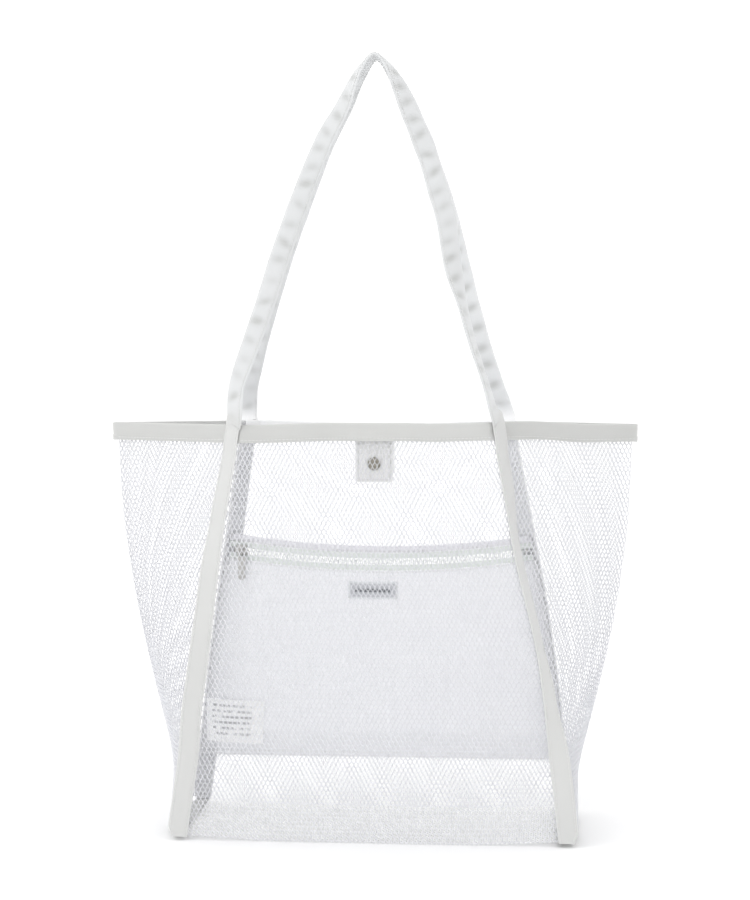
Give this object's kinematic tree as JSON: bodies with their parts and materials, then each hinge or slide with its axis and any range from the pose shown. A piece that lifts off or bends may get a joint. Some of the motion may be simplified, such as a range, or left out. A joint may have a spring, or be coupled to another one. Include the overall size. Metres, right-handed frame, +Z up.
{
  "type": "beach bag",
  "caption": "Open-topped mesh tote with a flat base, creased gussets, taped edges, two long swinging handles, a snap closure and a zipped inner pocket.",
  "frame": {"origin": "centre of the flat base, on the surface the bag stands on", "axes": "+Z up through the handles, -Y the front panel with the snap tab seen through it, +X to the right seen from the front"},
  "size_m": [0.4182, 0.1348, 0.6137],
  "materials": {
    "mesh_net": "open diamond mesh of white polyester thread",
    "white_tape": "off-white woven tape, matt",
    "handle_tape": "off-white folded tape, soft and puckered",
    "tab_cloth": "white plain weave, matt",
    "snap_metal": "polished nickel with a faint warm tint",
    "pocket_cloth": "thin white plain weave, slightly sheer",
    "zip_tape": "white zip tape with a faint green tint",
    "zip_teeth": "white nylon coil",
    "slider_metal": "dull nickel",
    "grey_label": "grey woven satin label with a plain dark bar pattern",
    "care_label": "white satin ribbon with faint grey bars"
  },
  "bodies": {
    "bag": {"front_mesh_panel": "mesh_net", "back_mesh_panel": "mesh_net", "left_mesh_gusset": "mesh_net", "right_mesh_gusset": "mesh_net", "base_mesh_panel": "mesh_net", "front_left_trim": "white_tape", "front_right_trim": "white_tape", "back_left_trim": "white_tape", "back_right_trim": "white_tape", "left_base_trim": "white_tape", "right_base_trim": "white_tape", "rim_binding_front": "white_tape", "rim_binding_back": "white_tape", "rim_binding_left": "white_tape", "rim_binding_right": "white_tape", "pocket_cloth": "pocket_cloth", "pocket_top_band": "pocket_cloth", "zip_tape_upper": "zip_tape", "zip_tape_lower": "zip_tape", "zip_teeth_upper": "zip_teeth", "zip_teeth_lower": "zip_teeth", "zip_stop_left": "zip_teeth", "zip_stop_right": "zip_teeth", "pocket_label": "grey_label"},
    "front_handle": {"front_handle_strap": "handle_tape"},
    "back_handle": {"back_handle_strap": "handle_tape"},
    "front_tab": {"front_snap_tab": "tab_cloth", "front_snap_cap": "snap_metal", "front_snap_socket": "snap_metal"},
    "back_tab": {"back_snap_tab": "tab_cloth", "back_snap_cap": "snap_metal", "back_snap_stud": "snap_metal"},
    "zip_slider": {"zip_slider": "slider_metal", "zip_slider_crown": "slider_metal"},
    "zip_pull": {"zip_pull_tab": "slider_metal"},
    "care_label": {"care_label": "care_label"}
  },
  "joints": [
    {"name": "front_handle_swing", "type": "hinge", "parent": "bag", "child": "front_handle", "pos_m": [0, -0.0584, 0.3203], "axis": [1, 0, 0], "range_deg": [0, 180]},
    {"name": "back_handle_swing", "type": "hinge", "parent": "bag", "child": "back_handle", "pos_m": [0, 0.0584, 0.3203], "axis": [-1, 0, 0], "range_deg": [0, 180]},
    {"name": "front_tab_swing", "type": "hinge", "parent": "bag", "child": "front_tab", "pos_m": [0, -0.05228, 0.3052], "axis": [1, 0, 0], "range_deg": [0, 110]},
    {"name": "back_tab_swing", "type": "hinge", "parent": "bag", "child": "back_tab", "pos_m": [0, 0.05228, 0.3052], "axis": [-1, 0, 0], "range_deg": [0, 110]},
    {"name": "zip_slide", "type": "slide", "parent": "bag", "child": "zip_slider", "axis": [1, 0, 0], "range_m": [0, 0.226]},
    {"name": "zip_pull_swing", "type": "hinge", "parent": "zip_slider", "child": "zip_pull", "pos_m": [-0.1131, 0.04511, 0.214], "axis": [-1, 0, 0], "range_deg": [0, 120]},
    {"name": "care_label_turn", "type": "hinge", "parent": "bag", "child": "care_label", "pos_m": [-0.14335, 0.05146, 0.0735], "axis": [0, 0, -1], "range_deg": [0, 90]}
  ]
}
